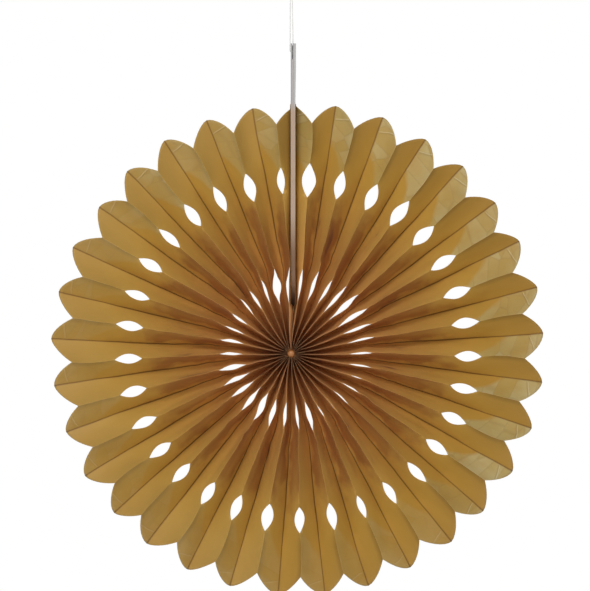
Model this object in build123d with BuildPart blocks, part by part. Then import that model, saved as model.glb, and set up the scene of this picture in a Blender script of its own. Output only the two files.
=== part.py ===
from build123d import *
from math import cos, pi, radians, sin, sqrt, tan
import os

# Paper fan medallion: a strip of tissue folded into upright pleats and opened to a full circle.
# Millimetres. The fan stands in the XZ plane with its front towards -Y and its axis through the origin.

# The pleated sheet, and how deep its pleats still stand where the fan is widest
petal_count = 33
sheet_thickness = 0.12
rim_depth = 15.7
hub_panel_gap = 0.04
facets_along = 6

# The cut edge, seen from the front, and the spare sheet that is cut away outside it
tip_radius = 203.0
petal_depth = 14.0
petal_bulge = 1.4
tip_rounding = 4.0
cut_margin = 2.0

# The punched holes, with the half-width that the punch has on one flat panel
punch_half_width = 6.6
outer_hole_radius = 140.0
outer_hole_length = 20.0
inner_hole_radius = 54.5
inner_hole_length = 18.0
cuts_per_lens_side = 4

# The seam petal is narrower than the rest, because the end cards pull it together
seam_petal_angle = 8.1

# The two end cards, which start where the seam petal is wide enough to hold them
card_thickness = 1.4
foot_panel_gap = 0.13
tuck_length = 1.0
header_height = 48.0
header_slit = 13.0

# The string through the header of the left card, and the knot that closes its loop
string_hole_diameter = 3.0
string_hole_drop = 6.0
string_diameter = 0.8
slit_clearance = 0.1
face_clearance = 0.15
hole_clearance = 0.5
turn_share = 0.45
loop_rise = 38.5
strand_gap_at_knot = 1.65
knot_overhang = 0.1
knot_length = 3.6
knot_chamfer = 0.5
tail_length = 6.0
tail_lean = 18.0

# The bead of glue that binds the pleats at the hub
glue_clearance = 0.03
glue_inset = 0.3
glue_chamfer = 1.0

regular_half_angle = (360 - seam_petal_angle) / (petal_count - 1) / 2
seam_half_angle = seam_petal_angle / 2
panel_width = sqrt(rim_depth**2 + (tip_radius * sin(radians(regular_half_angle))) ** 2)
half_depth = panel_width / 2
notch_radius = tip_radius - petal_depth
blank_radius = tip_radius + cut_margin
hub_radius = (2 * sheet_thickness + hub_panel_gap) / sin(radians(seam_half_angle))

adhesive_thickness = string_diameter + 2 * slit_clearance
card_outer_face = adhesive_thickness / 2 + card_thickness
card_foot = (card_outer_face + 2 * sheet_thickness + foot_panel_gap) / tan(radians(seam_half_angle))
card_top = tip_radius + header_height
knot_foot = card_top + loop_rise
fan_plane = Plane.XZ


def pleat_height(radius):
    """How far the front fold stands from the back fold where panels of one width span the pitch."""
    half_pitch = radius * sin(radians(regular_half_angle))
    return sqrt(panel_width**2 - half_pitch**2)


def on_section(radius, half_angle, corners):
    """Corners given as (across, towards the front) on the section through a front fold at this radius."""
    along = radius * cos(radians(half_angle))
    return [Vector(along, across, front) for across, front in corners]


def regular_section(radius):
    """Half of a regular petal's section, from its back fold to its front fold."""
    front = pleat_height(radius) / 2
    ridge = radius * sin(radians(regular_half_angle))
    corners = [
        (0, -front),
        (sheet_thickness, -front),
        (ridge, front - sheet_thickness),
        (ridge, front),
        (ridge - sheet_thickness, front),
        (0, -front + sheet_thickness),
    ]
    return on_section(radius, regular_half_angle, corners)


def seam_section(radius, face):
    """Half of the seam petal's section: the end panel that lies on a card's face, then the free panel."""
    front = pleat_height(radius) / 2
    ridge = radius * sin(radians(seam_half_angle))
    corners = [
        (face, half_depth),
        (face, -half_depth),
        (face + 2 * sheet_thickness, -half_depth),
        (ridge, front - sheet_thickness),
        (ridge, front),
        (ridge - sheet_thickness, front),
        (face + sheet_thickness, -half_depth + sheet_thickness),
        (face + sheet_thickness, half_depth),
    ]
    return on_section(radius, seam_half_angle, corners)


def folded_solid(sections):
    """The closed solid through sections of like corners, its twisted sides laid out as flat facets.

    Each facet's long side runs from the back fold outwards to the front fold, on both faces of the sheet.
    """
    faces = [Face(Wire.make_polygon(sections[0])), Face(Wire.make_polygon(sections[-1]))]
    for near, far in zip(sections, sections[1:]):
        for i in range(len(near)):
            back, front = sorted((i, (i + 1) % len(near)), key=lambda corner: near[corner].Z)
            faces.append(Face(Wire.make_polygon([near[back], near[front], far[front]])))
            faces.append(Face(Wire.make_polygon([near[back], far[front], far[back]])))
    return Solid(Shell(faces))


def spaced(start, end):
    """Radii spread evenly from the hub side to the rim side of a stretch of pleats."""
    return [start + (end - start) * i / facets_along for i in range(facets_along + 1)]


def petal_edge(half_angle):
    """What one petal covers seen from the front, with bulging sides and a rounded tip."""
    notch_x = notch_radius * cos(radians(half_angle))
    notch_y = notch_radius * sin(radians(half_angle))
    with BuildSketch() as edge:
        with BuildLine():
            Line((0, 0), (notch_x, -notch_y))
            SagittaArc((notch_x, -notch_y), (tip_radius, 0), -petal_bulge)
            SagittaArc((tip_radius, 0), (notch_x, notch_y), -petal_bulge)
            Line((notch_x, notch_y), (0, 0))
        make_face()
        fillet(edge.vertices().sort_by(Axis.X)[-1], radius=tip_rounding)
    return edge.sketch


def lens(centre, length, half_width, angle):
    """A pointed lens on a front fold, seen from the front, its sides in short straight cuts."""
    fold = Plane(origin=(0, 0, 0), x_dir=(cos(radians(angle)), sin(radians(angle)), 0))
    steps = [2 * i / cuts_per_lens_side - 1 for i in range(cuts_per_lens_side + 1)]
    side = [(centre + length / 2 * step, half_width * (1 - step**2)) for step in steps]
    with BuildSketch(fold) as hole:
        with BuildLine():
            Polyline(side)
            mirror(about=Plane.XZ)
        make_face()
    return hole.sketch


def punch(half_angle, panel_run):
    """Both rings' lens holes on the two front folds that bound a petal.

    One punch pierced the flat stack of panels, so a hole looks as narrow as the panel that it lies on.
    """
    for radius, length in ((inner_hole_radius, inner_hole_length), (outer_hole_radius, outer_hole_length)):
        half_width = punch_half_width * panel_run(radius) / panel_width
        for fold in (half_angle, -half_angle):
            hole = lens(radius, length, half_width, fold)
            extrude(hole, amount=panel_width, both=True, mode=Mode.SUBTRACT)


def regular_run(radius):
    """How wide a regular panel looks from the front."""
    return radius * sin(radians(regular_half_angle))


def seam_run(radius):
    """How wide the free panel beside a card looks from the front."""
    return radius * sin(radians(seam_half_angle)) - card_outer_face


def labelled(part, name):
    """Names a finished piece and writes it out."""
    part.label = name
    export_step(part, f"parts/{name}.step")


os.makedirs("parts", exist_ok=True)

# One regular petal along +X, from front fold to front fold, with its back fold in the middle
with BuildPart() as petal:
    add(folded_solid([regular_section(radius) for radius in spaced(hub_radius, blank_radius)]))
    mirror(about=Plane.XZ)
    extrude(petal_edge(regular_half_angle), amount=panel_width, both=True, mode=Mode.INTERSECT)
    punch(regular_half_angle, regular_run)

# The seam petal, whose end panels meet below the cards and part to hold them further out
foot_radius = card_foot / cos(radians(seam_half_angle))
tuck_radius = foot_radius - tuck_length
with BuildPart() as seam_petal:
    below = [seam_section(radius, 0) for radius in (hub_radius, tuck_radius)]
    beside = [seam_section(radius, card_outer_face) for radius in spaced(foot_radius, blank_radius)]
    add(folded_solid(below + beside))
    mirror(about=Plane.XZ)
    extrude(petal_edge(seam_half_angle), amount=panel_width, both=True, mode=Mode.INTERSECT)
    punch(seam_half_angle, seam_run)

with BuildPart(fan_plane) as pleated_tissue:
    first_petal = 90 + seam_half_angle + regular_half_angle
    with PolarLocations(0, petal_count - 1, first_petal, 360 - seam_petal_angle):
        add(petal.part)
    with PolarLocations(0, 1, 90):
        add(seam_petal.part)
labelled(pleated_tissue.part, "pleated_tissue")

# The end cards stand back to back on the seam plane, each as wide as a panel, and the left one is punched
card_height = card_top - card_foot
card_middle = adhesive_thickness / 2 + card_thickness / 2
hole_height = card_top - string_hole_drop

with BuildPart() as card_right:
    with Locations((card_middle, 0, card_foot)):
        Box(card_thickness, panel_width, card_height, align=(Align.CENTER, Align.CENTER, Align.MIN))
labelled(card_right.part, "card_right")

with BuildPart() as card_left:
    with Locations((-card_middle, 0, card_foot)):
        Box(card_thickness, panel_width, card_height, align=(Align.CENTER, Align.CENTER, Align.MIN))
    with Locations(Plane.YZ.offset(-card_outer_face) * Location((0, hole_height, 0))):
        Hole(string_hole_diameter / 2)
labelled(card_left.part, "card_left")

with BuildPart() as adhesive_strip:
    with Locations((0, 0, card_foot)):
        strip_height = card_height - header_slit
        Box(adhesive_thickness, panel_width, strip_height, align=(Align.CENTER, Align.CENTER, Align.MIN))
labelled(adhesive_strip.part, "adhesive_strip")

# The bead of glue fills the ring of inner panel ends, a little short of the front and back folds
glue_radius = hub_radius * cos(radians(regular_half_angle)) - glue_clearance
with BuildPart(fan_plane) as hub_glue:
    Cylinder(glue_radius, panel_width - 2 * glue_inset)
    chamfer(hub_glue.edges().filter_by(GeomType.CIRCLE), length=glue_chamfer)
labelled(hub_glue.part, "hub_glue")

# One strand hangs in the slit between the cards and passes through the hole's upper side, the other
# rises on the left card's outer face, and both end under the knot
pull_height = hole_height + string_hole_diameter / 2 - string_diameter / 2 - hole_clearance
outer_strand = -(card_outer_face + string_diameter / 2 + face_clearance)
route = [
    Vector(-strand_gap_at_knot, 0, knot_foot),
    Vector(outer_strand, 0, pull_height),
    Vector(0, 0, pull_height),
    Vector(0, 0, knot_foot),
]
turn_radii = []
for before, corner, after in zip(route, route[1:], route[2:]):
    shorter_run = min((corner - before).length, (after - corner).length)
    half_turn = radians((corner - before).get_angle(after - corner)) / 2
    turn_radii.append(turn_share * shorter_run / tan(half_turn))
print("string radii", [round(radius, 2) for radius in turn_radii])

with BuildPart() as hanging_string:
    with BuildLine():
        string_path = FilletPolyline(*route, radius=turn_radii)
    with BuildSketch(Plane(origin=string_path @ 0, z_dir=string_path % 0)):
        Circle(string_diameter / 2)
    sweep()
string_section = pi * string_diameter**2 / 4
string_share = hanging_string.part.volume / (string_section * string_path.length)
print("string length", round(string_path.length, 1), "volume over section times length", round(string_share, 4))
labelled(hanging_string.part, "hanging_string")

# The knot stands on both strand ends, with its two cut tails leaning apart above it
knot_middle = -strand_gap_at_knot / 2
knot_radius = (strand_gap_at_knot + string_diameter) / 2 + knot_overhang + knot_chamfer
with BuildPart() as string_knot:
    with Locations((knot_middle, 0, knot_foot)):
        Cylinder(knot_radius, knot_length, align=(Align.CENTER, Align.CENTER, Align.MIN))
    chamfer(string_knot.edges().filter_by(GeomType.CIRCLE), length=knot_chamfer)
    for lean in (tail_lean, -tail_lean):
        tail = Location((knot_middle, 0, knot_foot + knot_length / 2), (0, lean, 0))
        with Locations(tail):
            tail_reach = knot_length / 2 + tail_length
            Cylinder(string_diameter / 2, tail_reach, align=(Align.CENTER, Align.CENTER, Align.MIN))
labelled(string_knot.part, "string_knot")
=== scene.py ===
import math
import random

import bmesh
import bpy
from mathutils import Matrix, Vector
from mathutils import noise as noises


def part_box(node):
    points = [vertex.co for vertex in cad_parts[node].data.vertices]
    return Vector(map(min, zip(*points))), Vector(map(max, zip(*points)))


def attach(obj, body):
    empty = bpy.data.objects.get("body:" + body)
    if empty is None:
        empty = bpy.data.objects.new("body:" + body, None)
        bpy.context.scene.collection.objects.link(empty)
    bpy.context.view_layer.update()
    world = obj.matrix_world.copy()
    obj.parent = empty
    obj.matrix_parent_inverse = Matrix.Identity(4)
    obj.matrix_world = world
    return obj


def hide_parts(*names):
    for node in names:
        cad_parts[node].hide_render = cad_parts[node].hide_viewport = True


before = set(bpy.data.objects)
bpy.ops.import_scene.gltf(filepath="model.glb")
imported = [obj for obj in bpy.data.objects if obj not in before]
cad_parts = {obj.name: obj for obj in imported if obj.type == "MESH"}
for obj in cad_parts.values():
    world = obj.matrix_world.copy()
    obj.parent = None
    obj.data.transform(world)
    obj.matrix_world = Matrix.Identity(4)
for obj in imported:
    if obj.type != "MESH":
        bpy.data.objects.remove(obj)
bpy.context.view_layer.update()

# The sheet, in metres: one strip of tissue folded into panels, and every second fold stands to the front
petal_count = 33
panel_count = 2 * petal_count + 2
panel_width = 0.025
sheet_thickness = 0.00012
hub_radius = 0.0032
tip_radius = 0.2041
notch_radius = 0.1868
petal_roundness = 1.42

# Holes: the radius of a hole's middle and half its length. An inner hole is longer the wider it stands
# open, from its shortest half to its longest, and at its full width its lips give up the whole panel.
# The lips of an outer hole give up a share of the panel, and it stretches a little as it gapes
inner_hole = {
    "centre": 0.0537,
    "half": 0.0082,
    "longest": 0.0160,
    "shortest": 0.0045,
    "growth": 0.0024,
    "full width": 0.0098,
}
outer_hole = {
    "centre": 0.1395,
    "half": 0.0113,
    "open": 0.337,
    "stretch": 0.4,
    "least": 0.94,
    "most": 1.06,
}

# Headings of the first and last front fold beside the seam, in degrees from the right, and how far the
# folds on the right have slipped down from an even spacing, most at the tenth fold
seam_right = 86.5
seam_left = 95.25
right_slip = 0.9
slipped_folds = 20

# The opened ring hangs a little to the right of the seam cards, and the glued hub has sunk to their left
ring_shift = Vector((0.0034, 0, -0.0006))
hub_shift = Vector((-0.0022, 0, -0.0036))
seam_shift = -0.0006
shift_start = 0.008
shift_end = 0.075

# How far each inner hole stands open or is pinched: its width in millimetres, clockwise from the seam
inner_widths = [
    *(3.8, 3.4, 2.5, 4.0, 5.7, 3.8, 2.8, 2.5, 1.8, 1.8, 0.8, 1.6, 1.7, 0.2, 1.1, 3.8, 3.2),
    *(2.8, 3.9, 5.0, 5.0, 4.1, 4.5, 3.9, 2.7, 2.7, 2.2, 1.7, 2.1, 2.0, 2.6, 7.3, 6.2),
]

# The outer holes gape more on the upper right, most beside the seam, and least at the lower right: a
# heading, a share and a spread for each
outer_gapes = [(87, 0.62, 4), (50, 0.20, 35), (106, 0.24, 4), (295, -0.30, 12), (160, -0.07, 25)]

# How unevenly the folds were made: headings in degrees, sways in radians, skew as a share, and all else
# in metres
uneven = {
    "back heading": 0.25,
    "front heading": 0.2,
    "tip": 0.0005,
    "notch": 0.0006,
    "back sway": 0.0015,
    "front sway": 0.006,
    "lift": 0.0008,
    "skew": 0.06,
    "inner centre": 0.0006,
    "outer half": 0.0003,
    "outer centre": 0.0004,
}

# Rows of the sheet between the hub, the two rings of holes and the cut edge, and columns across a panel
rows_in_zones = (14, 12, 22, 12, 22)
columns = 8

# The gap that keeps a stuck panel off the glued one, and how far above the cards' foot the tissue closes
stuck_gap = 0.0005
closing_height = 0.0028

# Heights on the seam: its header stands above the pleats, and is closed behind the string from the height
# of the hole. Lower down it is darker and drawn back, most at the corners of its foot
header_start = 0.203
closed_start = 0.2375
darkening_start = 0.112
darkest_start = 0.062
foot_start = 0.112
corner_start = 0.056

string_diameter = 0.0008
card_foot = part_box("card_right")[0].z
card_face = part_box("card_right")[1].x
chance = random.Random(7)

# The tissue's dye from the hub to the tips of the petals, redder towards the hub with painted bounce
# light
dye_and_bounce_light = [
    (0.0, (0.69, 0.335, 0.160)),
    (0.32, (0.79, 0.430, 0.125)),
    (0.53, (0.70, 0.420, 0.100)),
    (0.74, (0.65, 0.405, 0.080)),
    (1.0, (0.53, 0.315, 0.060)),
]
# Painted shade: the band tint and the wrinkle, ridge, valley, crease and border browns. Painted light:
# the golds
mottled_tint = (0.80, 0.76, 0.70)
shade_band_tint = (0.66, 0.47, 0.52)
fibre_brown = (0.25, 0.12, 0.02)
wrinkle_shadow_brown = (0.17, 0.06, 0.045)
ridge_shade_brown = (0.27, 0.15, 0.030)
valley_shade_brown = (0.19, 0.080, 0.018)
crease_shade_brown = (0.28, 0.18, 0.06)
border_shade_brown = (0.30, 0.19, 0.07)
cut_brown = (0.35, 0.20, 0.05)
painted_light_gold = (0.60, 0.43, 0.155)
ridge_highlight_gold = (0.74, 0.52, 0.32)
crease_highlight_gold = (0.86, 0.78, 0.52)
painted_sheen_golds = (0.54, 0.435, 0.170), (0.60, 0.505, 0.255)


def new_material(name):
    """An empty material, its tree and its output."""
    material = bpy.data.materials.new(name)
    material.use_nodes = True
    tree = material.node_tree
    tree.nodes.clear()
    return material, tree, tree.nodes.new("ShaderNodeOutputMaterial").inputs[0]


def placed(name, data):
    """A new object that holds its data, in the scene."""
    piece = bpy.data.objects.new(name, data)
    bpy.context.scene.collection.objects.link(piece)
    return piece


class Value:
    """A number inside a tree that takes part in sums as a plain number does."""

    def __init__(self, tree, socket):
        self.tree = tree
        self.socket = socket

    def maths(self, operation, *others, clamp=False, last=False):
        node = self.tree.nodes.new("ShaderNodeMath")
        node.operation = operation
        node.use_clamp = clamp
        values = (*others, self) if last else (self, *others)
        for socket, value in zip(node.inputs, values):
            feed(self.tree, socket, value)
        return Value(self.tree, node.outputs[0])

    def __add__(self, other):
        return self.maths("ADD", other)

    def __radd__(self, other):
        return self.maths("ADD", other)

    def __sub__(self, other):
        return self.maths("SUBTRACT", other)

    def __rsub__(self, other):
        return self.maths("SUBTRACT", other, last=True)

    def __mul__(self, other):
        return self.maths("MULTIPLY", other)

    def __rmul__(self, other):
        return self.maths("MULTIPLY", other)

    def __truediv__(self, other):
        return self.maths("DIVIDE", other)

    def clamped(self):
        return self.maths("ADD", 0.0, clamp=True)

    def floor(self):
        return self.maths("FLOOR")

    def absolute(self):
        return self.maths("ABSOLUTE")

    def above(self, limit):
        return self.maths("GREATER_THAN", limit)


def feed(tree, socket, value):
    """Links a value or a socket to an input, or writes a plain number there."""
    if isinstance(value, Value):
        tree.links.new(value.socket, socket)
    elif isinstance(value, bpy.types.NodeSocket):
        tree.links.new(value, socket)
    else:
        socket.default_value = value


def add_node(tree, kind, inputs=None, **settings):
    """Adds a node with its settings and its inputs, named or numbered."""
    node = tree.nodes.new(kind)
    for name, value in settings.items():
        setattr(node, name, value)
    for name, value in (inputs or {}).items():
        feed(tree, node.inputs[name], value)
    return node


def vector_maths(tree, operation, inputs):
    """Adds a sum of vectors."""
    return add_node(tree, "ShaderNodeVectorMath", inputs, operation=operation).outputs[0]


def point_at(tree, x, y, z=0.0):
    """A point made of three values."""
    return add_node(tree, "ShaderNodeCombineXYZ", {0: x, 1: y, 2: z}).outputs[0]


def blended(near, far, share):
    """near where the share is 0, far where it is 1."""
    return near + (far - near) * share


def rising(value, start, slope):
    """0 up to the start, then up to 1 at a slope."""
    return ((value - start) * slope).clamped()


def falling(value, end, slope):
    """1, then down at a slope to 0 at the end."""
    return ((end - value) * slope).clamped()


def smooth_step(share):
    """A share of 0 to 1 that starts and ends gently."""
    return share * share * (3.0 - 2.0 * share)


def arch(share):
    """0 at both ends of a share and 1 in its middle."""
    return 4.0 * share * (1.0 - share)


def noise(tree, x, y, z, detail=2.0):
    """Noise about zero, mostly within minus one and one, at a point given by three values."""
    inputs = {"Vector": point_at(tree, x, y, z), "Scale": 1.0, "Detail": detail}
    texture = add_node(tree, "ShaderNodeTexNoise", inputs)
    return (Value(tree, texture.outputs[0]) - 0.5) * 3.0


def bump_at(heading, centre, spread):
    """A rounded bump of height 1 round a heading."""
    away = (heading - centre + 180) % 360 - 180
    return math.exp(-((away / spread) ** 2))


def front_heading(front):
    """The heading of a front fold, in degrees, counted clockwise from the seam."""
    even = seam_right - front * (360 - seam_left + seam_right) / (petal_count - 1)
    slip = right_slip * math.sin(math.pi * min(front / slipped_folds, 1)) ** 2
    return even - slip


def fold_facts():
    """What each fold of the strip has, in its order along the strip, as one dictionary for each fold."""
    facts = []
    for fold in range(panel_count + 1):
        front = fold // 2 - 1
        fact = {"side": 0.0, "edge": tip_radius, "sway": 0.0, "lift": 0.0, "skew": 0.0}
        for ring, hole in (("inner", inner_hole), ("outer", outer_hole)):
            fact[f"{ring}_start"] = hole["centre"] - hole["half"]
            fact[f"{ring}_end"] = hole["centre"] + hole["half"]
            fact[f"{ring}_open"] = 0.0
        if fold < 2 or fold > panel_count - 2:
            # The first and last panels are glued to the cards
            fact["heading"] = math.radians(90 if fold < 2 else -270)
            fact["side"] = 1.0 if fold < 2 else -1.0
        elif fold % 2:
            middle = (front_heading(front) + front_heading(front + 1)) / 2
            fact["heading"] = math.radians(middle + chance.gauss(0, uneven["back heading"]))
            fact["edge"] = tip_radius + chance.gauss(0, uneven["tip"])
            fact["sway"] = chance.gauss(0, uneven["back sway"])
        else:
            heading = front_heading(front)
            fact["heading"] = math.radians(heading + chance.gauss(0, uneven["front heading"]))
            fact["edge"] = notch_radius + chance.gauss(0, uneven["notch"])
            fact["sway"] = chance.gauss(0, uneven["front sway"])
            fact["lift"] = chance.gauss(0, uneven["lift"])
            fact["skew"] = chance.gauss(0, uneven["skew"])
            width = inner_widths[front] / 1000
            half = inner_hole["longest"] * (1 - math.exp(-width / inner_hole["growth"]))
            half = max(half, inner_hole["shortest"])
            centre = inner_hole["centre"] + chance.gauss(0, uneven["inner centre"])
            fact["inner_start"] = centre - half
            fact["inner_end"] = centre + half
            fact["inner_open"] = width / inner_hole["full width"]
            gape = 1 + sum(size * bump_at(heading, at, spread) for at, size, spread in outer_gapes)
            half = outer_hole["half"] * gape ** outer_hole["stretch"]
            half = half + chance.gauss(0, uneven["outer half"])
            centre = outer_hole["centre"] + chance.gauss(0, uneven["outer centre"])
            fact["outer_start"] = centre - half
            fact["outer_end"] = centre + half
            share = chance.uniform(outer_hole["least"], outer_hole["most"])
            fact["outer_open"] = outer_hole["open"] * gape * share
        fact["bow"] = chance.gauss(0, 1)
        facts.append(fact)
    return facts


def fold_line():
    """A line with one point for each fold, which carries the folds' facts."""
    facts = fold_facts()
    mesh = bpy.data.meshes.new("fold_line")
    points = [(0.001 * i, 0, 0) for i in range(len(facts))]
    mesh.from_pydata(points, [(i, i + 1) for i in range(len(points) - 1)], [])
    for name in facts[0]:
        attribute = mesh.attributes.new(name, "FLOAT", "POINT")
        attribute.data.foreach_set("value", [fact[name] for fact in facts])
    return placed("fold_line", mesh)


def sized_tree(name, sizes):
    """An empty tree for a shape, what goes into it, and its sizes as values."""
    tree = bpy.data.node_groups.new(name, "GeometryNodeTree")
    tree.interface.new_socket("Geometry", in_out="INPUT", socket_type="NodeSocketGeometry")
    tree.interface.new_socket("Geometry", in_out="OUTPUT", socket_type="NodeSocketGeometry")
    for title, size in sizes.items():
        socket = tree.interface.new_socket(title, in_out="INPUT", socket_type="NodeSocketFloat")
        socket.default_value = size
    source = tree.nodes.new("NodeGroupInput").outputs
    return tree, source["Geometry"], {title: Value(tree, source[title]) for title in sizes}


def close_tree(tree, shape, material):
    """Makes a tree's shape real, gives it its material and sends it out."""
    real = add_node(tree, "GeometryNodeRealizeInstances", {"Geometry": shape})
    inputs = {"Geometry": real.outputs[0], "Material": material}
    finish = add_node(tree, "GeometryNodeSetMaterial", inputs)
    tree.links.new(finish.outputs[0], tree.nodes.new("NodeGroupOutput").inputs[0])


def add_tree(worker, tree, sizes):
    """Gives an object a tree, with each size set."""
    modifier = worker.modifiers.new(tree.name, "NODES")
    modifier.node_group = tree
    for item in tree.interface.items_tree:
        if item.in_out == "INPUT" and item.name in sizes:
            modifier[item.identifier] = sizes[item.name]


def pleating_tree(material):
    """Lays a flat grid into pleats, opens the ring, punches the holes and cuts the petals."""
    sizes = {
        "Panel Width": panel_width,
        "Hub Radius": hub_radius,
        "Petal Roundness": petal_roundness,
        "Roundness Gain": 0.20,
        "Ridge Rounding": 0.45,
        "Rim Hollow": 0.40,
        "Fold Softness": 0.03,
        "Rim Softness": 0.02,
        "Card Face": card_face,
        "Card Foot": card_foot,
        "Stuck Share": 0.55,
        "Belly": 0.0003,
        "Belly Spread": 0.0004,
        "Wrinkle Height": 0.00035,
        "Wrinkle Density": 45.0,
        "Ripple Height": 0.0007,
        "Fold Wander": 0.0006,
        "Kink": 0.0010,
        "Seed": 3.0,
    }
    tree, line, size = sized_tree("pleated_sheet", sizes)

    def attribute(name):
        node = add_node(tree, "GeometryNodeInputNamedAttribute", {"Name": name}, data_type="FLOAT")
        return Value(tree, node.outputs[0])

    def stored(shape, name, value, domain="POINT", kind="FLOAT"):
        inputs = {"Geometry": shape, "Name": name, "Value": value}
        node = add_node(tree, "GeometryNodeStoreNamedAttribute", inputs, data_type=kind, domain=domain)
        return node.outputs[0]

    def at_fold(name, fold):
        inputs = {"Geometry": line, "Value": attribute(name), "Index": fold}
        node = add_node(tree, "GeometryNodeSampleIndex", inputs, data_type="FLOAT", domain="POINT")
        return Value(tree, node.outputs[0])

    # The flat grid, and each point's column and row in it
    row_count = sum(rows_in_zones)
    column_count = panel_count * columns
    counts = {"Size X": 1.0, "Size Y": 1.0, "Vertices X": column_count + 1, "Vertices Y": row_count + 1}
    grid = add_node(tree, "GeometryNodeMeshGrid", counts)
    here = tree.nodes.new("GeometryNodeInputPosition").outputs[0]
    here = add_node(tree, "ShaderNodeSeparateXYZ", {0: here}).outputs
    column_here = ((Value(tree, here[0]) + 0.5) * column_count).maths("ROUND")
    row_here = ((Value(tree, here[1]) + 0.5) * row_count).maths("ROUND")
    sheet = stored(stored(grid.outputs[0], "column", column_here), "row", row_here)
    column = attribute("column")
    row = attribute("row")

    # Which panel a point is on, and how many columns it is from that panel's back fold
    panel = (column / columns + 0.001).floor().maths("MINIMUM", panel_count - 1.0)
    step = column - panel * columns
    odd = panel.maths("MODULO", 2.0)
    outward = odd * 2.0 - 1.0
    from_back = blended(columns - step, step, odd)
    front_fold = ((panel + 1.0) / 2.0).floor() * 2.0
    back_fold = (panel / 2.0).floor() * 2.0 + 1.0
    on_front = from_back.above(columns - 0.5)
    front_side = at_fold("side", front_fold)
    back_side = at_fold("side", back_fold)

    # How far a row has come through each zone between the hub, the rings of holes and the edge
    through = []
    first_row = 0
    for rows in rows_in_zones:
        through.append(((row - float(first_row)) / float(rows)).clamped())
        first_row += rows
    at_hub, at_inner, at_middle, at_outer, at_rim = through

    # The lip is the share of the panel next to the front fold that a hole opens or a soft fold rounds
    skewed = at_fold("skew", front_fold) * outward
    lips = []
    for ring, share, lopsided in (("inner", at_inner, 0.0), ("outer", at_outer, 0.15)):
        shape = arch(share) * (1.0 + lopsided * (0.5 - share))
        lips.append(at_fold(f"{ring}_open", front_fold) * shape * (1.0 + skewed * (2.0 * share - 1.0)))

    # The two panels beside the cards are stuck to the glued ones over the first part of their width,
    # further on the left than on the right, and less towards the rim
    beside = back_side.absolute() * (1.0 - front_side.absolute())
    more_on_left = 1.0 + 0.25 * back_fold.above(panel_count / 2)
    less_outwards = 1.15 - 0.35 * at_outer - 0.2 * at_rim
    stuck = size["Stuck Share"] * beside * more_on_left * less_outwards
    opening = (lips[0] + lips[1]) * (1.0 - stuck)
    near_hub = ((1.0 - at_hub) * 5.0).clamped()
    plateau = (at_middle * 7.0).clamped() * ((1.0 - at_middle) * 7.0).clamped()
    softness = size["Fold Softness"] * (near_hub + plateau * 0.3)
    softness = softness + size["Rim Softness"] * (at_rim * 3.0).clamped()
    lip = opening + softness
    even_share = (from_back / (columns - 1.0)).maths("MINIMUM", 1.0)
    across = blended(even_share * (1.0 - lip), 1.0, on_front)

    # The radius of each point, by way of the holes' ends and the rounded cut of its petal
    def key(name):
        return blended(at_fold(name, back_fold), at_fold(name, front_fold), across)

    cut = 1.0 - across.maths("POWER", size["Petal Roundness"] + size["Roundness Gain"] * odd)
    edge = blended(at_fold("edge", front_fold), at_fold("edge", back_fold), cut)
    ends = [key(name) for name in ("inner_start", "inner_end", "outer_start", "outer_end")]
    stops = [size["Hub Radius"], *ends, edge]
    radius = size["Hub Radius"]
    for near, far, share in zip(stops, stops[1:], through):
        radius = radius + (far - near) * share

    # The heading, with folds that sway outside the outer holes, wander elsewhere, most near the hub, and
    # are kinked just outside the inner holes
    crushed = at_hub * (1.0 - smooth_step((at_middle * 1.3).clamped()))
    loose = 1.0 + 2.2 * crushed
    dented = (at_inner * 3.0 - 2.0).clamped() * (1.0 - smooth_step((at_middle * 1.8).clamped()))

    def heading_at(fold):
        wander = noise(tree, fold * 3.7, radius * 28.0, size["Seed"]) * size["Fold Wander"] * loose
        kink = noise(tree, fold * 7.1, radius * 100.0, size["Seed"]) * size["Kink"] * dented
        return at_fold("heading", fold) + at_fold("sway", fold) * arch(at_rim) + (wander + kink) / radius

    swung = ((across - stuck).maths("MAXIMUM", 0.0)).maths("DIVIDE", 1.0 - stuck)
    side = blended(back_side, front_side, swung)
    on_card = side.absolute()
    heading = blended(heading_at(back_fold), heading_at(front_fold), swung)
    heading = blended(heading, at_fold("heading", back_fold), on_card.above(0.999))

    # The depth of the pleats. Between the rings of holes the ridges are round and uneven, and at the rim
    # the even panels are hollow
    half_pitch = radius * math.sin(math.pi / petal_count * (petal_count - 1) / petal_count)
    depth = (size["Panel Width"] * size["Panel Width"] - half_pitch * half_pitch).maths("SQRT")
    front_depth = blended(depth, size["Panel Width"], front_side.absolute()) / 2.0
    back_depth = blended(depth, size["Panel Width"], back_side.absolute()) / 2.0
    lifted = at_fold("lift", front_fold) * (radius / tip_radius)
    wavy = odd - 1.3 + noise(tree, panel * 5.3, radius * 60.0, size["Seed"]) * 0.8
    round_zone = at_inner * (1.0 - smooth_step(rising(at_middle, 0.25, 1.4)))
    rim_zone = (at_rim * 4.0).clamped()
    rounding = 0.1 + size["Ridge Rounding"] * round_zone * wavy
    rounding = rounding + rim_zone * (odd * 0.15 - size["Rim Hollow"])
    risen = across + rounding.maths("MINIMUM", 0.98) * across * (1.0 - across)
    risen = blended(risen, 1.0 - 0.45 * softness, on_front)
    y = blended(back_depth, lifted - front_depth, risen)

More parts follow.
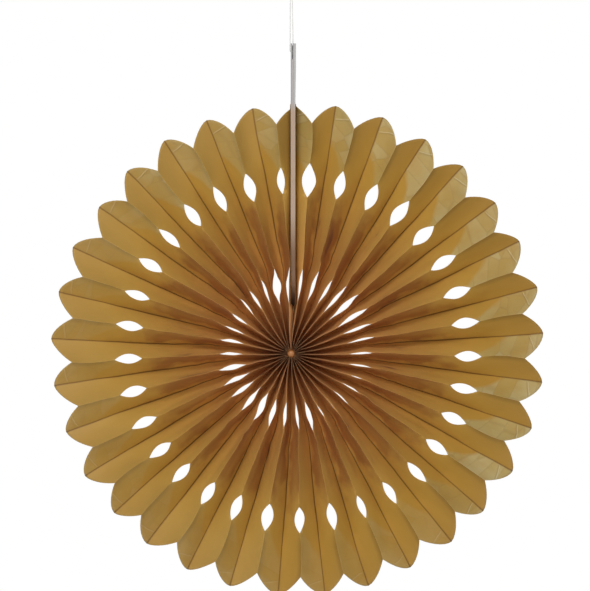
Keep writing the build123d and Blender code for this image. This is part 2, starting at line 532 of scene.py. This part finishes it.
    # The belly, the wrinkles and the ripples of each panel along its own normal
    free = arch(across) * (1.0 - on_card) * (radius / 0.03).maths("MINIMUM", 1.0)
    belly = size["Belly"] + size["Belly Spread"] * at_fold("bow", panel)
    along_strip = (panel + blended(1.0 - across, across, odd)) * size["Panel Width"]
    density = size["Wrinkle Density"]
    creased = noise(tree, along_strip * density, radius * density * 0.6, size["Seed"], 3.0)
    streaked = noise(tree, along_strip * 75.0, radius * 16.0, size["Seed"] + 5.0)
    ripples = streaked * size["Ripple Height"] * at_inner * (1.0 - smooth_step(at_outer * 0.8))
    proud = free * (creased * size["Wrinkle Height"] + ripples - belly)
    tangent = proud * outward * depth / size["Panel Width"]
    y = y - proud * half_pitch / size["Panel Width"]

    # The place of each point: the hub and the ring have moved apart, and the seam stays with the cards
    shift = smooth_step(((radius - shift_start) / (shift_end - shift_start)).clamped())
    shift_z = blended(hub_shift.z, ring_shift.z, shift)
    above_foot = rising(radius + shift_z - size["Card Foot"], closing_height, 500.0)
    shift_x = blended(hub_shift.x, ring_shift.x, shift) * (1.0 - on_card * above_foot)
    shift_x = shift_x + on_card * above_foot * seam_shift
    clear = size["Card Face"] + beside * (across * 8.0).clamped() * stuck_gap
    cosine = heading.maths("COSINE")
    sine = heading.maths("SINE")
    x = radius * cosine - tangent * sine + shift_x + side * clear * above_foot
    z = radius * sine + tangent * cosine + shift_z

    # Facts that the finish reads are kept on the sheet before it is folded
    sheet = stored(sheet, "rim_gap", edge - radius)
    sheet = stored(sheet, "across", across)
    sheet = stored(sheet, "sheet", point_at(tree, along_strip, radius), "CORNER", "FLOAT2")
    inputs = {"Geometry": sheet, "Position": point_at(tree, x, y, z)}
    pleats = add_node(tree, "GeometryNodeSetPosition", inputs)

    # The faces next to a front fold fall out where a hole stands open
    in_inner = at_inner.above(0.001) * (1.0 - at_inner.above(0.999))
    in_outer = at_outer.above(0.001) * (1.0 - at_outer.above(0.999))
    real_fold = front_fold.above(0.5) * (1.0 - front_fold.above(panel_count - 0.5))
    fallen = from_back.above(columns - 0.9) * real_fold
    punched = stored(pleats.outputs[0], "punched", fallen * (in_inner + in_outer), "FACE")
    inputs = {"Geometry": punched, "Selection": attribute("punched").above(0.5)}
    left = add_node(tree, "GeometryNodeDeleteGeometry", inputs, domain="FACE", mode="ALL")
    inputs = {"Geometry": left.outputs[0], "Distance": 0.00002}
    merged = add_node(tree, "GeometryNodeMergeByDistance", inputs)

    # Back folds are crisp, and so are front folds away from the hub. Everything else is smooth
    outside = attribute("row").above(rows_in_zones[0] + rows_in_zones[1] + 1.5)
    on_lip = 1.0 - (from_back - (columns - 1.0)).absolute().above(0.25)
    crisp = (1.0 - attribute("across").above(0.0001)) + from_back.above(columns - 0.25) * outside
    crisp = (crisp + on_lip * outside).above(0.5)
    smooth = add_node(tree, "GeometryNodeSetShadeSmooth", {"Geometry": merged.outputs[0]}, domain="FACE")
    inputs = {"Geometry": smooth.outputs[0], "Selection": crisp, "Shade Smooth": False}
    creases = add_node(tree, "GeometryNodeSetShadeSmooth", inputs, domain="EDGE")
    close_tree(tree, creases.outputs[0], material)
    return tree, sizes


def finished_mesh(worker, name):
    """Turns an object into a plain piece, and removes the object that made it."""
    bpy.context.view_layer.update()
    evaluated = worker.evaluated_get(bpy.context.evaluated_depsgraph_get())
    mesh = bpy.data.meshes.new_from_object(evaluated)
    mesh.name = name
    bpy.data.objects.remove(worker, do_unlink=True)
    return placed(name, mesh)


def make_tissue():
    """The pleated sheet, with its real thickness."""
    line = fold_line()
    add_tree(line, *pleating_tree(tissue_material()))
    wall = line.modifiers.new("wall", "SOLIDIFY")
    wall.thickness = sheet_thickness
    wall.offset = 0
    tissue = finished_mesh(line, "tissue")
    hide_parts("pleated_tissue")
    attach(tissue, "root")


def ramp(tree, value, stops):
    """A colour that runs through the stops, each a place and a colour."""
    node = add_node(tree, "ShaderNodeValToRGB", {0: value})
    elements = node.color_ramp.elements
    while len(elements) < len(stops):
        elements.new(1)
    for element, (place, colour) in zip(elements, stops):
        element.position = place
        element.color = (*colour, 1)
    return node.outputs[0]


def mixed(tree, share, near, far, blend="MIX"):
    """Mixes two colours."""
    node = tree.nodes.new("ShaderNodeMix")
    node.data_type = "RGBA"
    node.blend_type = blend
    feed(tree, node.inputs[0], share)
    for socket, colour in ((node.inputs[6], near), (node.inputs[7], far)):
        feed(tree, socket, (*colour, 1) if isinstance(colour, tuple) else colour)
    return node.outputs[2]


def tinted(tree, colour, tint):
    """A colour seen through a tint."""
    return mixed(tree, 1.0, colour, tint, "MULTIPLY")


def bumped(tree, height, strength):
    """The direction of a surface that rises and falls by a height, in metres."""
    inputs = {"Strength": strength, "Distance": 1.0, "Height": height}
    return add_node(tree, "ShaderNodeBump", inputs).outputs[0]


def opaque(tree, surface, colour, roughness, normal, sheen=0.0):
    """Finishes a surface that no light passes through."""
    inputs = {"Base Color": colour, "Roughness": roughness, "Normal": normal, "Sheen Weight": sheen}
    face = add_node(tree, "ShaderNodeBsdfPrincipled", inputs)
    tree.links.new(face.outputs[0], surface)


def object_place(tree):
    """A point's place on its piece, as three values."""
    place = tree.nodes.new("ShaderNodeTexCoord").outputs["Object"]
    return [Value(tree, socket) for socket in add_node(tree, "ShaderNodeSeparateXYZ", {0: place}).outputs]


class Sheet:
    """Where a point lies on the flat sheet and on its panel, and patterns that follow the sheet."""

    def __init__(self, tree):
        self.tree = tree
        flat = add_node(tree, "ShaderNodeUVMap", uv_map="sheet").outputs[0]
        flat = add_node(tree, "ShaderNodeSeparateXYZ", {0: flat}).outputs
        self.along = Value(tree, flat[0])
        self.radius = Value(tree, flat[1])
        rim_gap = add_node(tree, "ShaderNodeAttribute", attribute_name="rim_gap")
        self.rim_gap = Value(tree, rim_gap.outputs["Fac"])
        place = self.along / panel_width
        self.panel = place.floor()
        self.petal = place / 2.0
        self.odd = self.panel.maths("MODULO", 2.0)
        self.across = blended(1.0 - (place - self.panel), place - self.panel, self.odd)
        self.on_left = place.above(petal_count + 2.0)
        self.shaded = blended(1.0 - self.odd, self.odd, self.on_left)

    def clouds(self, scale, stretch, seed, detail=3.0):
        return noise(self.tree, self.along * scale, self.radius * scale * stretch, seed, detail)


def drawn(value, width):
    """A soft line where a value is 0."""
    return (1.0 - value.absolute() / width).clamped()


def dyed_with_bounce_light(sheet):
    """The dye, mottled and streaked by fine fibres, and redder towards the hub with painted bounce light.
    """
    tree = sheet.tree
    # Redder towards the hub: painted bounce light from deep in the pleats
    colour = ramp(tree, sheet.radius / tip_radius, dye_and_bounce_light)
    mottle = (sheet.clouds(55.0, 0.5, 0.0, 4.0) * 0.2 + 0.5).clamped()
    colour = mixed(tree, mottle, colour, tinted(tree, colour, mottled_tint))
    fibres = (sheet.clouds(700.0, 0.12, 4.0) * 0.25 + 0.5).clamped() * 0.14
    return mixed(tree, fibres, colour, fibre_brown)


def shade_banded(sheet, colour):
    """Painted shade between the rings of holes: reddish bands on each pleat's shaded half, and wrinkle
    shadows.
    """
    tree = sheet.tree
    radius = sheet.radius
    drift = noise(tree, sheet.along * 60.0, radius * 17.0, 9.0, 3.0)
    wavering = noise(tree, sheet.along * 50.0, radius * 55.0, 15.0)
    band = rising(radius, 0.050, 90.0) * ((0.130 - radius) * 50.0 + wavering * 0.8).clamped()
    half = ((sheet.across + wavering * 0.35 - 0.10) * 5.0).clamped()
    # Painted shade on the half of each pleat that faces away from the light, broken by random streaks
    run = (sheet.shaded * half * 0.85 + drift * 0.6).clamped()
    colour = mixed(tree, band * run * 0.9, colour, tinted(tree, colour, shade_band_tint))
    # Dark patches where the streaks are strongest: painted wrinkle shadows
    deep = rising(drift, 0.45, 3.5) * band
    return mixed(tree, deep * 0.65, colour, wrinkle_shadow_brown)


def lit_and_shaded(sheet, colour):
    """Painted light pales the panels facing up on the left, and painted shade lies dark beside the outer
    folds.
    """
    tree = sheet.tree
    # Painted light: the panels that face up on the left are paler
    painted_light = sheet.on_left * (1.0 - sheet.odd) * rising(sheet.radius, 0.115, 18.0) * 0.25
    colour = mixed(tree, painted_light, colour, painted_light_gold)
    # Painted shade on the shaded halves beside the front folds, near the rim
    ridge_shade = drawn(1.0 - sheet.across, 0.24) * sheet.shaded * falling(sheet.rim_gap, 0.042, 60.0)
    return mixed(tree, ridge_shade * 0.6, colour, ridge_shade_brown)


def facets(sheet):
    """Painted sheen on flat facets pressed into each second panel outside its hole, most at the right and
    top.
    """
    tree = sheet.tree
    out = (1.0 - sheet.rim_gap / 0.046).clamped()
    spread = sheet.clouds(45.0, 1.2, 11.0, 2.0) * 0.18
    wedge = ((out * 3.0 + 0.20 + spread - (1.0 - sheet.across)) * 2.6).clamped() * (out * 12.0).clamped()
    # The painted sheen is strongest on the right and at the top
    lower_right = rising(sheet.petal, 8.5, 0.5) * falling(sheet.petal, 13.8, 1.0)
    around = falling(sheet.petal, 13.4, 0.5) * 0.62 + rising(sheet.petal, 28.0, 0.6) * 0.40
    around = around + lower_right * 0.30 + 0.38
    outwards = sheet.radius * 75.0 + sheet.across * 0.5
    sideways = sheet.panel * 7.0 + sheet.across * 0.8
    inputs = {"Vector": point_at(tree, outwards, sideways), "Scale": 1.0, "Randomness": 0.75}
    cells = add_node(tree, "ShaderNodeTexVoronoi", inputs)
    tints = add_node(tree, "ShaderNodeSeparateXYZ", {0: cells.outputs["Color"]})
    tint = Value(tree, tints.outputs[0])
    soft_patch = (sheet.clouds(60.0, 0.8, 7.0, 2.0) * 0.35 + 0.75).clamped()
    pressed = (wedge * around * sheet.odd * soft_patch * (tint * 0.3 + 0.7)).clamped()
    borders = add_node(tree, "ShaderNodeTexVoronoi", inputs, feature="DISTANCE_TO_EDGE")
    border = drawn(Value(tree, borders.outputs["Distance"]), 0.05) * wedge
    return pressed, tint, border, around


def folded(sheet, colour):
    """Painted shade in dark lines along the back folds, and a faint painted highlight along the front
    folds.
    """
    tree = sheet.tree
    radius = sheet.radius
    middle = rising(radius, 0.050, 60.0) * falling(radius, 0.165, 25.0)
    # Painted shade along the back folds, wider between the rings
    valley_shade = drawn(sheet.across, 0.05) * rising(radius, 0.045, 30.0)
    valley_shade = valley_shade + drawn(sheet.across, 0.085) * middle * 0.6
    colour = mixed(tree, valley_shade.clamped() * 0.8, colour, valley_shade_brown)
    # A faint painted highlight along the front folds near the hub
    ridge_highlight = drawn(1.0 - sheet.across, 0.05) * falling(radius, 0.060, 50.0)
    return mixed(tree, ridge_highlight * 0.10, colour, ridge_highlight_gold)


def tissue_material():
    """Thin gold tissue: mottled, fibrous, crumpled near the edge, creased, lit through, with painted
    light and shade.
    """
    material, tree, surface = new_material("gold_tissue")
    sheet = Sheet(tree)
    pressed, tint, border, around = facets(sheet)
    colour = lit_and_shaded(sheet, shade_banded(sheet, dyed_with_bounce_light(sheet)))
    # The pressed facets are painted paler: painted sheen
    colour = mixed(tree, pressed * 0.9, colour, mixed(tree, tint, *painted_sheen_golds))
    colour = folded(sheet, colour)

    # Straight creases across the pressed halves: a painted highlight on one ridge near the edge, and the
    # facets' borders
    wave = sheet.clouds(35.0, 0.0, 3.0, 2.0) * 0.0022
    zone = sheet.odd * around * rising(sheet.across, 0.03, 12.0) * (sheet.rim_gap * 900.0 - 0.5).clamped()
    tilt = sheet.across * 0.003
    arc = drawn(sheet.radius - 0.1925 - wave - tilt, 0.0006) * zone
    colour = mixed(tree, arc.clamped() * 0.5, colour, crease_highlight_gold)
    # Painted shade just inside that ridge
    under = drawn(sheet.radius - 0.1915 - wave - tilt, 0.0007) * zone
    colour = mixed(tree, under.clamped() * 0.4, colour, crease_shade_brown)
    # Painted shade along the facets' borders
    border = border * zone
    colour = mixed(tree, border.clamped() * 0.18, colour, border_shade_brown)
    colour = mixed(tree, drawn(sheet.rim_gap, 0.0009) * 0.3, colour, cut_brown)

    # Crumples, cockles and grain
    warped = sheet.along * 110.0 + sheet.clouds(60.0, 1.0, 5.0) * 0.5
    inputs = {"Vector": point_at(tree, warped, sheet.radius * 85.0), "Scale": 1.0}
    cells = add_node(tree, "ShaderNodeTexVoronoi", inputs, feature="DISTANCE_TO_EDGE")
    crumple = Value(tree, cells.outputs["Distance"]).maths("MINIMUM", 0.3)
    grain = sheet.clouds(1500.0, 0.6, 1.0, 2.0)
    cockle = sheet.clouds(150.0, 0.5, 2.0, 3.0)
    height = grain * 0.000006 + cockle * (0.00004 + pressed * 0.00008)
    height = height + crumple * (pressed * 0.0004 + 0.0001) + arc * 0.0003 - border * 0.0001
    normal = bumped(tree, height, 0.8)

    # Part of the light is reflected, and part passes through the thin sheet
    roughness = 0.52 - pressed * 0.20 + grain * 0.03
    inputs = {"Base Color": colour, "Roughness": roughness, "Normal": normal}
    face = add_node(tree, "ShaderNodeBsdfPrincipled", inputs)
    passed = add_node(tree, "ShaderNodeGamma", {"Color": colour, "Gamma": 0.85}).outputs[0]
    glow = add_node(tree, "ShaderNodeBsdfTranslucent", {"Color": passed, "Normal": normal})
    thin = add_node(tree, "ShaderNodeMixShader", {0: 0.30, 1: face.outputs[0], 2: glow.outputs[0]})
    tree.links.new(thin.outputs[0], surface)
    return material


def add_spline(curve, points):
    """Adds a smooth line from the first point to the last."""
    spline = curve.splines.new("NURBS")
    spline.points.add(len(points) - 1)
    for point, place in zip(spline.points, points):
        point.co = (*place, 1)
    spline.order_u = 3
    spline.use_endpoint_u = True
    return spline


def make_string():
    """The twisted white string: out of the knot, through the hole in the left card, back up the slit."""
    route = [
        (-0.00290, 0, 0.2895),
        (-0.00298, 0, 0.2504),
        (-0.00322, 0, 0.2453),
        (-0.00050, 0, 0.2453),
        (-0.00062, 0, 0.2504),
        (-0.00124, 0, 0.2895),
    ]
    curve = bpy.data.curves.new("string_route", "CURVE")
    curve.dimensions = "3D"
    spline = add_spline(curve, route)
    spline.resolution_u = 24
    line = placed("string_route", curve)
    bpy.context.view_layer.update()
    path = [tuple(vertex.co) for vertex in bpy.data.meshes.new_from_object(line).vertices]

    finish = string_material()
    add_tree(line, *twisting_tree(finish))
    string = finished_mesh(line, "string")
    knot = make_knot(finish)
    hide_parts("hanging_string")
    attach(string, "root")


def string_material():
    """White cotton: fine fibres and a soft, slightly soiled surface."""
    material, tree, surface = new_material("white_string")
    x, y, z = object_place(tree)
    fibres = noise(tree, x * 9000.0, y * 9000.0, z * 1500.0, 3.0)
    soiled = noise(tree, x * 160.0, y * 160.0, z * 160.0)
    colour = mixed(tree, (fibres * 0.25 + 0.4).clamped(), (0.86, 0.86, 0.84), (0.68, 0.68, 0.67))
    colour = mixed(tree, (soiled * 0.3 + 0.2).clamped(), colour, (0.62, 0.60, 0.55))
    opaque(tree, surface, colour, 0.85, bumped(tree, fibres * 0.00002, 0.7), sheen=0.3)
    return material


def twisting_tree(material):
    """Twists three plies round a line."""
    ply_count = 3
    sizes = {"Ply Radius": 0.00021, "Ply Offset": 0.00019, "Twist Length": 0.0016, "Step": 0.00016}
    tree, line, size = sized_tree("twisted_plies", sizes)
    inputs = {"Curve": line, "Length": size["Step"]}
    even = add_node(tree, "GeometryNodeResampleCurve", inputs, mode="LENGTH")
    normal = tree.nodes.new("GeometryNodeInputNormal").outputs[0]
    tangent = tree.nodes.new("GeometryNodeInputTangent").outputs[0]
    across = vector_maths(tree, "CROSS_PRODUCT", {0: tangent, 1: normal})
    along = Value(tree, tree.nodes.new("GeometryNodeSplineParameter").outputs["Length"])
    inputs = {"Resolution": 7, "Radius": size["Ply Radius"]}
    profile = add_node(tree, "GeometryNodeCurvePrimitiveCircle", inputs)
    joined = tree.nodes.new("GeometryNodeJoinGeometry")
    for ply in range(ply_count):
        turn = along / size["Twist Length"] * math.tau + ply * math.tau / ply_count
        out = vector_maths(tree, "SCALE", {0: normal, "Scale": turn.maths("COSINE")})
        over = vector_maths(tree, "SCALE", {0: across, "Scale": turn.maths("SINE")})
        both = vector_maths(tree, "ADD", {0: out, 1: over})
        offset = vector_maths(tree, "SCALE", {0: both, "Scale": size["Ply Offset"]})
        inputs = {"Geometry": even.outputs[0], "Offset": offset}
        moved = add_node(tree, "GeometryNodeSetPosition", inputs)
        inputs = {"Curve": moved.outputs[0], "Profile Curve": profile.outputs[0], "Fill Caps": True}
        tube = add_node(tree, "GeometryNodeCurveToMesh", inputs)
        tree.links.new(tube.outputs[0], joined.inputs[0])
    close_tree(tree, joined.outputs[0], material)
    return tree, sizes


def make_knot(finish):
    """The overhand knot that closes the loop: both strands go round together and end in short tails."""
    middle = -0.00207
    foot = 0.2894
    strand_gap = 0.00042
    entry_gap = 0.00083
    steps = 26
    curve = bpy.data.curves.new("knot_route", "CURVE")
    curve.dimensions = "3D"
    curve.bevel_depth = string_diameter / 2
    curve.bevel_resolution = 2
    curve.use_fill_caps = True
    for strand in (-1, 1):
        points = []
        for step in range(steps + 1):
            t = -2.15 + 4.3 * step / steps
            gap = strand * strand_gap
            lead = (entry_gap - strand_gap) * strand * max(0, -t - 1.7) / 0.45
            lean = strand * 0.0009 * max(0, t - 1.6) / 0.55
            x = middle + 0.00068 * (t**5 / 5 - 2 * t) * 0.8 + gap + lead + lean
            y = 0.00040 * (t**4 - 4 * t**2) + 0.0003
            z = foot + 0.0046 + 0.00125 * (t**3 - 3 * t) * 0.42 + 0.0016 * t
            points.append((x, y, z))
        add_spline(curve, points)
    knot = finished_mesh(placed("knot_route", curve), "knot")
    knot.data.materials.clear()
    knot.data.materials.append(finish)
    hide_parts("string_knot")
    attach(knot, "root")
    return knot


def glue_material():
    """Set amber glue: darker where it is thick, with dust and small ripples on its skin."""
    material, tree, surface = new_material("amber_glue")
    x, y, z = object_place(tree)
    thick = noise(tree, x * 420.0, y * 420.0, z * 420.0, 3.0)
    dust = noise(tree, x * 2400.0, y * 2400.0, z * 2400.0, 3.0)
    colour = mixed(tree, (thick * 0.5 + 0.5).clamped(), (0.24, 0.085, 0.018), (0.46, 0.18, 0.05))
    colour = mixed(tree, rising(dust, 0.3, 1.2) * 0.3, colour, (0.55, 0.34, 0.18))
    height = thick * 0.00012 + dust * 0.00002
    opaque(tree, surface, colour, dust * 0.06 + 0.38, bumped(tree, height, 0.6))
    return material


def make_glue():
    """The bead of set glue that binds the inner ends of the pleats, uneven at its two ends."""
    low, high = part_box("hub_glue")
    radius = (high.x - low.x) / 2
    reach = (high.y - low.y) / 2
    bead = bmesh.new()
    bmesh.ops.create_icosphere(bead, subdivisions=5, radius=1)
    for vertex in bead.verts:
        way = vertex.co.copy()
        waist = 1 - 0.05 * (1 - abs(way.y)) + 0.05 * noises.noise(way * 2.5 + Vector((3, 1, 7)))
        flat = math.copysign(abs(way.y) ** 0.55, way.y)
        width = (1 - abs(flat) ** 5) ** 0.5 * waist
        round_it = Vector((way.x, 0, way.z)).normalized()
        vertex.co.x = hub_shift.x + radius * width * round_it.x
        vertex.co.y = reach * flat * (1 + 0.02 * noises.noise(way * 3))
        vertex.co.z = hub_shift.z + radius * width * round_it.z
    mesh = bpy.data.meshes.new("glue")
    bead.to_mesh(mesh)
    bead.free()
    mesh.materials.append(glue_material())
    for face in mesh.polygons:
        face.use_smooth = True
    glue = placed("glue", mesh)
    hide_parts("hub_glue")
    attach(glue, "root")


def darker_downwards(tree, z, colour):
    """The seam turns dark brown lower down the fan, darkest at its foot."""
    colour = mixed(tree, falling(z, darkening_start, 30.0) * 0.85, colour, (0.17, 0.095, 0.050))
    return mixed(tree, falling(z, darkest_start, 60.0) * 0.85, colour, (0.09, 0.042, 0.018))


def below_header(z):
    """1 on the part of the seam that lies between the pleats, 0 on the header above them."""
    return falling(z, header_start, 120.0)


def board_material():
    """Grey board: pressed fibres in layers on the cut edges, and darker and browner lower down the fan.
    """
    material, tree, surface = new_material("grey_board")
    x, y, z = object_place(tree)
    fibres = noise(tree, x * 6000.0, y * 900.0, z * 260.0, 3.0)
    flecks = noise(tree, x * 900.0, y * 900.0, z * 900.0)
    layers = noise(tree, x * 9000.0, y * 60.0, z * 60.0, 1.0)
    right = (x * 2000.0).clamped()
    colour = mixed(tree, right, (0.36, 0.355, 0.35), (0.47, 0.46, 0.45))
    colour = mixed(tree, below_header(z) * 0.9, colour, (0.44, 0.305, 0.21))
    pressed = (fibres * 0.3 + layers * 0.3 + 0.4).clamped()
    colour = mixed(tree, pressed * 0.35, colour, (0.20, 0.19, 0.18))
    colour = mixed(tree, rising(flecks, 0.75, 4.0) * 0.5, colour, (0.10, 0.09, 0.08))
    colour = darker_downwards(tree, z + flecks * 0.002, colour)
    height = fibres * 0.00003 + layers * 0.00003 + flecks * 0.00001
    opaque(tree, surface, colour, 0.88, bumped(tree, height, 0.7))
    return material


def foam_material():
    """Foam tape: small open cells in a greyish body."""
    material, tree, surface = new_material("foam_tape")
    x, y, z = object_place(tree)
    inputs = {"Vector": point_at(tree, x, y, z), "Scale": 2600.0}
    cells = add_node(tree, "ShaderNodeTexVoronoi", inputs)
    depth = Value(tree, cells.outputs["Distance"])
    tone = noise(tree, x * 400.0, y * 400.0, z * 400.0, 3.0)
    colour = mixed(tree, (tone * 0.3 + 0.5).clamped(), (0.36, 0.34, 0.335), (0.46, 0.43, 0.42))
    colour = mixed(tree, below_header(z) * 0.9, colour, (0.42, 0.29, 0.20))
    # The cells' hollows are darker: painted shade
    colour = mixed(tree, (0.5 - depth).clamped() * 0.6, colour, (0.20, 0.15, 0.12))
    colour = darker_downwards(tree, z, colour)
    opaque(tree, surface, colour, 0.92, bumped(tree, depth * 0.00012, 0.8))
    return material


def held(value):
    """A number kept between 0 and 1."""
    return min(1, max(0, value))


def sliced(shape, low, high, count, axis):
    """Cuts a shape into even slices along an axis, so that it can bend."""
    way = Vector((0, 0, 0))
    way[axis] = 1
    for i in range(1, count):
        everything = shape.verts[:] + shape.edges[:] + shape.faces[:]
        point = way * (low[axis] + (high[axis] - low[axis]) * i / count)
        bmesh.ops.bisect_plane(shape, geom=everything, dist=1e-6, plane_co=point, plane_no=way)


def make_cards():
    """The end cards and the tape between them: closed behind the string, and drawn back at the foot."""
    # How far the header's faces have moved to the right: outer left, inner left, inner right, outer right
    header_pulls = {-1: 0.0, -0.5: -0.0002, 0.5: -0.0007, 1: 0.0005}
    foot_pull = 0.0025
    corner_pull = 0.017
    slices_up = 44
    slices_deep = 10
    board = board_material()
    for name, finish, slot in (
        ("card_left", board, "card"),
        ("card_right", board, "card"),
        ("adhesive_strip", foam_material(), "adhesive"),
    ):
        low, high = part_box(name)
        shape = bmesh.new()
        shape.from_mesh(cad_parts[name].data)
        bmesh.ops.remove_doubles(shape, verts=shape.verts, dist=1e-6)
        sliced(shape, low, high, slices_up, 2)
        sliced(shape, low, high, slices_deep, 1)
        for vertex in shape.verts:
            place = vertex.co
            inner_face = abs(place.x) < card_face - 0.0007
            side = math.copysign(0.5 if inner_face else 1, place.x)
            back = held((place.y + 0.002) / 0.013)
            closed = held((place.z - closed_start) / 0.004)
            if slot == "card" and inner_face:
                place.x *= 1 - 0.97 * back * closed
            foot = held((foot_start - place.z) / 0.05)
            corner = held((corner_start - place.z) / 0.023)
            front = (high.y - place.y) / (high.y - low.y)
            place.y += (foot_pull * smooth_step(foot) + corner_pull * corner * corner) * front
            place.x += seam_shift + header_pulls[side] * held((place.z - header_start) / 0.03)
        mesh = bpy.data.meshes.new("seam_" + name)
        shape.to_mesh(mesh)
        shape.free()
        mesh.materials.append(finish)
        card = placed("seam_" + name, mesh)
        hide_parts(name)
        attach(card, "root")


def make_light(name, place, width, height, power):
    """A soft rectangular lamp that faces the fan."""
    lamp = bpy.data.lights.new(name, "AREA")
    lamp.shape = "RECTANGLE"
    lamp.size = width
    lamp.size_y = height
    lamp.energy = power
    holder = placed(name, lamp)
    holder.location = place
    holder.rotation_euler = (-Vector(place)).to_track_quat("-Z", "Y").to_euler()
    holder.visible_camera = False


def seen_share(tree):
    """1 for what is looked at, also in a mirror or through glass, and 0 for what lights the pieces."""
    path = tree.nodes.new("ShaderNodeLightPath").outputs
    seen = Value(tree, path["Is Camera Ray"]).maths("MAXIMUM", path["Is Glossy Ray"])
    return seen.maths("MAXIMUM", path["Is Transmission Ray"])


def make_floor():
    """A pale floor: white far away, and matt enough under the fan to show its shadow."""
    reach = 6.0
    level = -0.5
    matt_reach = 1.9
    fade = 1.1
    corners = (-reach, -reach), (reach, -reach), (reach, reach), (-reach, reach)
    mesh = bpy.data.meshes.new("floor")
    mesh.from_pydata([(x, y, level) for x, y in corners], [], [(0, 1, 2, 3)])
    floor = placed("floor", mesh)
    material, tree, surface = new_material("pale_floor")
    inputs = {"Base Color": (0.88, 0.88, 0.87, 1), "Roughness": 0.8}
    matt = add_node(tree, "ShaderNodeBsdfPrincipled", inputs)
    white = add_node(tree, "ShaderNodeEmission", {"Color": (1, 1, 1, 1), "Strength": 1.0})
    place = tree.nodes.new("ShaderNodeTexCoord").outputs["Object"]
    length = add_node(tree, "ShaderNodeVectorMath", {0: place}, operation="LENGTH")
    away = Value(tree, length.outputs["Value"])
    under = smooth_step(((matt_reach - away) / fade).clamped())
    seen = seen_share(tree) * (1.0 - under * 0.45)
    shown = add_node(tree, "ShaderNodeMixShader", {0: seen, 1: matt.outputs[0], 2: white.outputs[0]})
    tree.links.new(shown.outputs[0], surface)
    mesh.materials.append(material)


def make_surround():
    """A white surround that lights the fan only softly."""
    world = bpy.data.worlds.new("studio")
    bpy.context.scene.world = world
    world.use_nodes = True
    tree = world.node_tree
    tree.nodes.clear()
    strength = blended(0.40, 1.0, seen_share(tree))
    glow = add_node(tree, "ShaderNodeBackground", {"Color": (1, 1, 1, 1), "Strength": strength})
    output = tree.nodes.new("ShaderNodeOutputWorld")
    tree.links.new(glow.outputs[0], output.inputs[0])


def make_camera():
    """A camera in front of the fan."""
    # The middle of the picture, and how many metres tall the picture is at the fan
    middle = Vector((0.0010, 0, 0.0441))
    view_height = 0.488
    distance = 2.0
    camera = bpy.data.cameras.new("camera")
    camera.sensor_width = 36
    camera.lens = camera.sensor_width * distance / view_height
    holder = placed("camera", camera)
    holder.location = (middle.x, -distance, middle.z)
    holder.rotation_euler = (math.radians(90), 0, 0)
    scene = bpy.context.scene
    scene.camera = holder
    scene.view_settings.view_transform = "Standard"


make_string()
make_tissue()
make_glue()
make_cards()
make_surround()
make_floor()
make_light("key", (-0.45, -1.85, 1.2), 0.9, 0.6, 19)
make_light("front", (-0.2, -2.5, 0.2), 1.4, 1.4, 17)
make_light("back", (0.4, 2.3, 0.8), 1.4, 1.4, 14)
make_camera()
